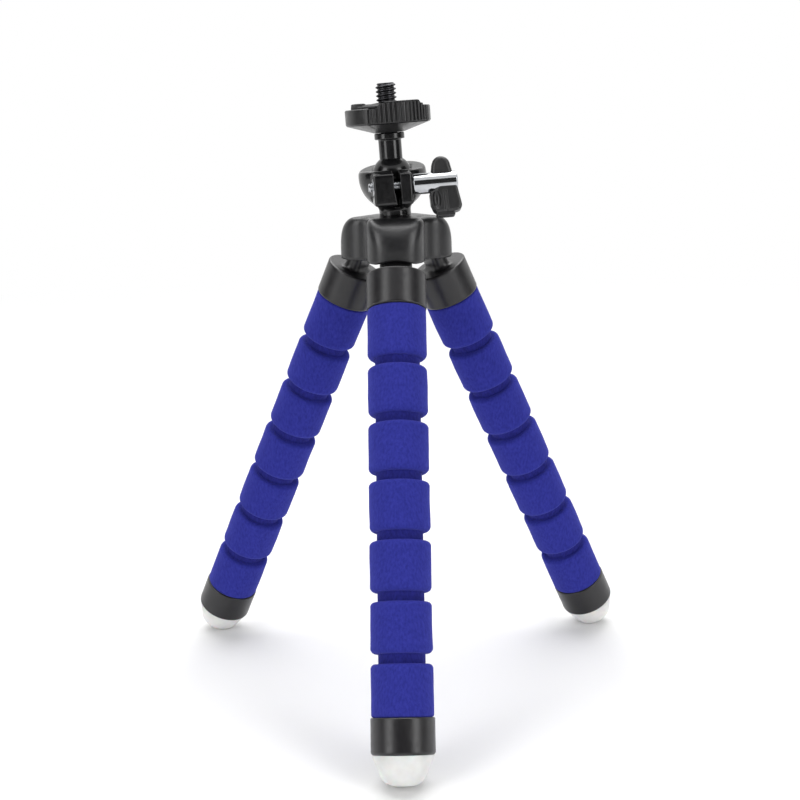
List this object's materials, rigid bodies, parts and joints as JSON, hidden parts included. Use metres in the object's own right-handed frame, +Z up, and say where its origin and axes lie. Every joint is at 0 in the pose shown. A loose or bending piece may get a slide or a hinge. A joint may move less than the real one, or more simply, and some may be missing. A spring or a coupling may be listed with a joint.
{
  "type": "flexible leg tripod",
  "caption": "Table tripod with bendable foam-sleeved wire legs hinged under a moulded hub, a clamped ball head, a knurled lock disc and a camera screw.",
  "frame": {"origin": "on the floor, at the middle of the standing part's plan box", "axes": "+Z up, the front leg towards -Y, +X to the right as the picture sees it"},
  "size_m": [0.1526, 0.1346, 0.1948],
  "materials": {
    "foam": "fine-pored sponge foam, matt",
    "hub_plastic": "satin moulded",
    "cap_plastic": "satin moulded",
    "head_plastic": "gloss moulded",
    "lever_plastic": "satin moulded",
    "disc_plastic": "satin moulded, ribbed rim",
    "pad_rubber": "matt",
    "chrome": "bright plated",
    "steel": "plain",
    "dark_steel": "blackened",
    "wire": "drawn",
    "foot_rubber": "soft translucent white"
  },
  "bodies": {
    "hub": {"hub": "hub_plastic", "hub_screw": "steel", "ball_socket": "head_plastic", "clamp_nut": "steel", "leg_1_hinge_pin": "steel", "leg_2_hinge_pin": "steel", "leg_3_hinge_pin": "steel"},
    "clamp": {"clamp_screw": "chrome", "clamp_lever": "lever_plastic"},
    "ball": {"ball": "head_plastic"},
    "stem": {"ball_stem": "head_plastic", "camera_screw": "dark_steel"},
    "disc": {"lock_disc": "disc_plastic", "grip_pad": "pad_rubber"},
    "leg_1_upper": {"leg_1_top_cap": "cap_plastic", "leg_1_core_wire": "wire", "leg_1_foam_1": "foam"},
    "leg_1_bead_2": {"leg_1_foam_2": "foam"},
    "leg_1_bead_3": {"leg_1_foam_3": "foam"},
    "leg_1_bead_4": {"leg_1_foam_4": "foam"},
    "leg_1_bead_5": {"leg_1_foam_5": "foam"},
    "leg_1_bead_6": {"leg_1_foam_6": "foam"},
    "leg_1_lower": {"leg_1_foam_7": "foam", "leg_1_foot_cap": "cap_plastic", "leg_1_rubber_foot": "foot_rubber"},
    "leg_2_upper": {"leg_2_top_cap": "cap_plastic", "leg_2_core_wire": "wire", "leg_2_foam_1": "foam"},
    "leg_2_bead_2": {"leg_2_foam_2": "foam"},
    "leg_2_bead_3": {"leg_2_foam_3": "foam"},
    "leg_2_bead_4": {"leg_2_foam_4": "foam"},
    "leg_2_bead_5": {"leg_2_foam_5": "foam"},
    "leg_2_bead_6": {"leg_2_foam_6": "foam"},
    "leg_2_lower": {"leg_2_foam_7": "foam", "leg_2_foot_cap": "cap_plastic", "leg_2_rubber_foot": "foot_rubber"},
    "leg_3_upper": {"leg_3_top_cap": "cap_plastic", "leg_3_core_wire": "wire", "leg_3_foam_1": "foam"},
    "leg_3_bead_2": {"leg_3_foam_2": "foam"},
    "leg_3_bead_3": {"leg_3_foam_3": "foam"},
    "leg_3_bead_4": {"leg_3_foam_4": "foam"},
    "leg_3_bead_5": {"leg_3_foam_5": "foam"},
    "leg_3_bead_6": {"leg_3_foam_6": "foam"},
    "leg_3_lower": {"leg_3_foam_7": "foam", "leg_3_foot_cap": "cap_plastic", "leg_3_rubber_foot": "foot_rubber"}
  },
  "joints": [
    {"name": "clamp_turn", "type": "hinge", "parent": "hub", "child": "clamp", "pos_m": [0.00066, 0.00883, 0.1636], "axis": [0.9922, 0.1115, 0.0555], "continuous": true},
    {"name": "ball_pan", "type": "hinge", "parent": "hub", "child": "ball", "pos_m": [-0.00068, 0.01946, 0.16623], "axis": [-0.0558, 0, 0.9984], "continuous": true},
    {"name": "ball_tilt", "type": "hinge", "parent": "ball", "child": "stem", "pos_m": [-0.00068, 0.01946, 0.16623], "axis": [0, 1, 0], "range_deg": [-35, 35]},
    {"name": "disc_spin", "type": "hinge", "parent": "stem", "child": "disc", "pos_m": [-0.00068, 0.01946, 0.16623], "axis": [-0.0558, 0, 0.9984], "continuous": true},
    {"name": "leg_1_hinge", "type": "hinge", "parent": "hub", "child": "leg_1_upper", "pos_m": [0, 0.00856, 0.14585], "axis": [1, 0, 0], "range_deg": [0, 26]},
    {"name": "leg_1_curl_1", "type": "hinge", "parent": "leg_1_upper", "child": "leg_1_bead_2", "pos_m": [0, -0.00836, 0.11115], "axis": [-1, 0, 0], "range_deg": [-15, 20], "deforming": ["leg_1_core_wire"]},
    {"name": "leg_1_sway_1", "type": "hinge", "parent": "leg_1_bead_2", "child": "leg_1_bead_3", "pos_m": [0, -0.01603, 0.09542], "axis": [0, -0.8988, 0.4384], "range_deg": [-16, 16]},
    {"name": "leg_1_curl_2", "type": "hinge", "parent": "leg_1_bead_3", "child": "leg_1_bead_4", "pos_m": [0, -0.02371, 0.0797], "axis": [-1, 0, 0], "range_deg": [-15, 20]},
    {"name": "leg_1_sway_2", "type": "hinge", "parent": "leg_1_bead_4", "child": "leg_1_bead_5", "pos_m": [0, -0.03138, 0.06397], "axis": [0, -0.8988, 0.4384], "range_deg": [-16, 16]},
    {"name": "leg_1_curl_3", "type": "hinge", "parent": "leg_1_bead_5", "child": "leg_1_bead_6", "pos_m": [0, -0.03905, 0.04824], "axis": [-1, 0, 0], "range_deg": [-15, 20]},
    {"name": "leg_1_sway_3", "type": "hinge", "parent": "leg_1_bead_6", "child": "leg_1_lower", "pos_m": [0, -0.04672, 0.03251], "axis": [0, -0.8988, 0.4384], "range_deg": [-16, 16]},
    {"name": "leg_2_hinge", "type": "hinge", "parent": "hub", "child": "leg_2_upper", "pos_m": [0.00944, 0.02491, 0.14585], "axis": [-0.5, 0.866, 0], "range_deg": [0, 26]},
    {"name": "leg_2_curl_1", "type": "hinge", "parent": "leg_2_upper", "child": "leg_2_bead_2", "pos_m": [0.02409, 0.03337, 0.11115], "axis": [0.5, -0.866, 0], "range_deg": [-15, 20], "deforming": ["leg_2_core_wire"]},
    {"name": "leg_2_sway_1", "type": "hinge", "parent": "leg_2_bead_2", "child": "leg_2_bead_3", "pos_m": [0.03074, 0.03721, 0.09542], "axis": [0.7784, 0.4494, 0.4384], "range_deg": [-16, 16]},
    {"name": "leg_2_curl_2", "type": "hinge", "parent": "leg_2_bead_3", "child": "leg_2_bead_4", "pos_m": [0.03738, 0.04104, 0.0797], "axis": [0.5, -0.866, 0], "range_deg": [-15, 20]},
    {"name": "leg_2_sway_2", "type": "hinge", "parent": "leg_2_bead_4", "child": "leg_2_bead_5", "pos_m": [0.04403, 0.04488, 0.06397], "axis": [0.7784, 0.4494, 0.4384], "range_deg": [-16, 16]},
    {"name": "leg_2_curl_3", "type": "hinge", "parent": "leg_2_bead_5", "child": "leg_2_bead_6", "pos_m": [0.05067, 0.04871, 0.04824], "axis": [0.5, -0.866, 0], "range_deg": [-15, 20]},
    {"name": "leg_2_sway_3", "type": "hinge", "parent": "leg_2_bead_6", "child": "leg_2_lower", "pos_m": [0.05731, 0.05255, 0.03251], "axis": [0.7784, 0.4494, 0.4384], "range_deg": [-16, 16]},
    {"name": "leg_3_hinge", "type": "hinge", "parent": "hub", "child": "leg_3_upper", "pos_m": [-0.00944, 0.02491, 0.14585], "axis": [-0.5, -0.866, 0], "range_deg": [0, 26]},
    {"name": "leg_3_curl_1", "type": "hinge", "parent": "leg_3_upper", "child": "leg_3_bead_2", "pos_m": [-0.02409, 0.03337, 0.11115], "axis": [0.5, 0.866, 0], "range_deg": [-15, 20], "deforming": ["leg_3_core_wire"]},
    {"name": "leg_3_sway_1", "type": "hinge", "parent": "leg_3_bead_2", "child": "leg_3_bead_3", "pos_m": [-0.03074, 0.03721, 0.09542], "axis": [-0.7784, 0.4494, 0.4384], "range_deg": [-16, 16]},
    {"name": "leg_3_curl_2", "type": "hinge", "parent": "leg_3_bead_3", "child": "leg_3_bead_4", "pos_m": [-0.03738, 0.04104, 0.0797], "axis": [0.5, 0.866, 0], "range_deg": [-15, 20]},
    {"name": "leg_3_sway_2", "type": "hinge", "parent": "leg_3_bead_4", "child": "leg_3_bead_5", "pos_m": [-0.04403, 0.04488, 0.06397], "axis": [-0.7784, 0.4494, 0.4384], "range_deg": [-16, 16]},
    {"name": "leg_3_curl_3", "type": "hinge", "parent": "leg_3_bead_5", "child": "leg_3_bead_6", "pos_m": [-0.05067, 0.04871, 0.04824], "axis": [0.5, 0.866, 0], "range_deg": [-15, 20]},
    {"name": "leg_3_sway_3", "type": "hinge", "parent": "leg_3_bead_6", "child": "leg_3_lower", "pos_m": [-0.05731, 0.05255, 0.03251], "axis": [-0.7784, 0.4494, 0.4384], "range_deg": [-16, 16]}
  ],
  "couplings": [
    {"joint": "leg_1_curl_2", "follows": "leg_1_curl_1", "ratio": 1},
    {"joint": "leg_1_sway_2", "follows": "leg_1_sway_1", "ratio": 1},
    {"joint": "leg_1_curl_3", "follows": "leg_1_curl_1", "ratio": 1},
    {"joint": "leg_1_sway_3", "follows": "leg_1_sway_1", "ratio": 1},
    {"joint": "leg_2_curl_2", "follows": "leg_2_curl_1", "ratio": 1},
    {"joint": "leg_2_sway_2", "follows": "leg_2_sway_1", "ratio": 1},
    {"joint": "leg_2_curl_3", "follows": "leg_2_curl_1", "ratio": 1},
    {"joint": "leg_2_sway_3", "follows": "leg_2_sway_1", "ratio": 1},
    {"joint": "leg_3_curl_2", "follows": "leg_3_curl_1", "ratio": 1},
    {"joint": "leg_3_sway_2", "follows": "leg_3_sway_1", "ratio": 1},
    {"joint": "leg_3_curl_3", "follows": "leg_3_curl_1", "ratio": 1},
    {"joint": "leg_3_sway_3", "follows": "leg_3_sway_1", "ratio": 1}
  ]
}
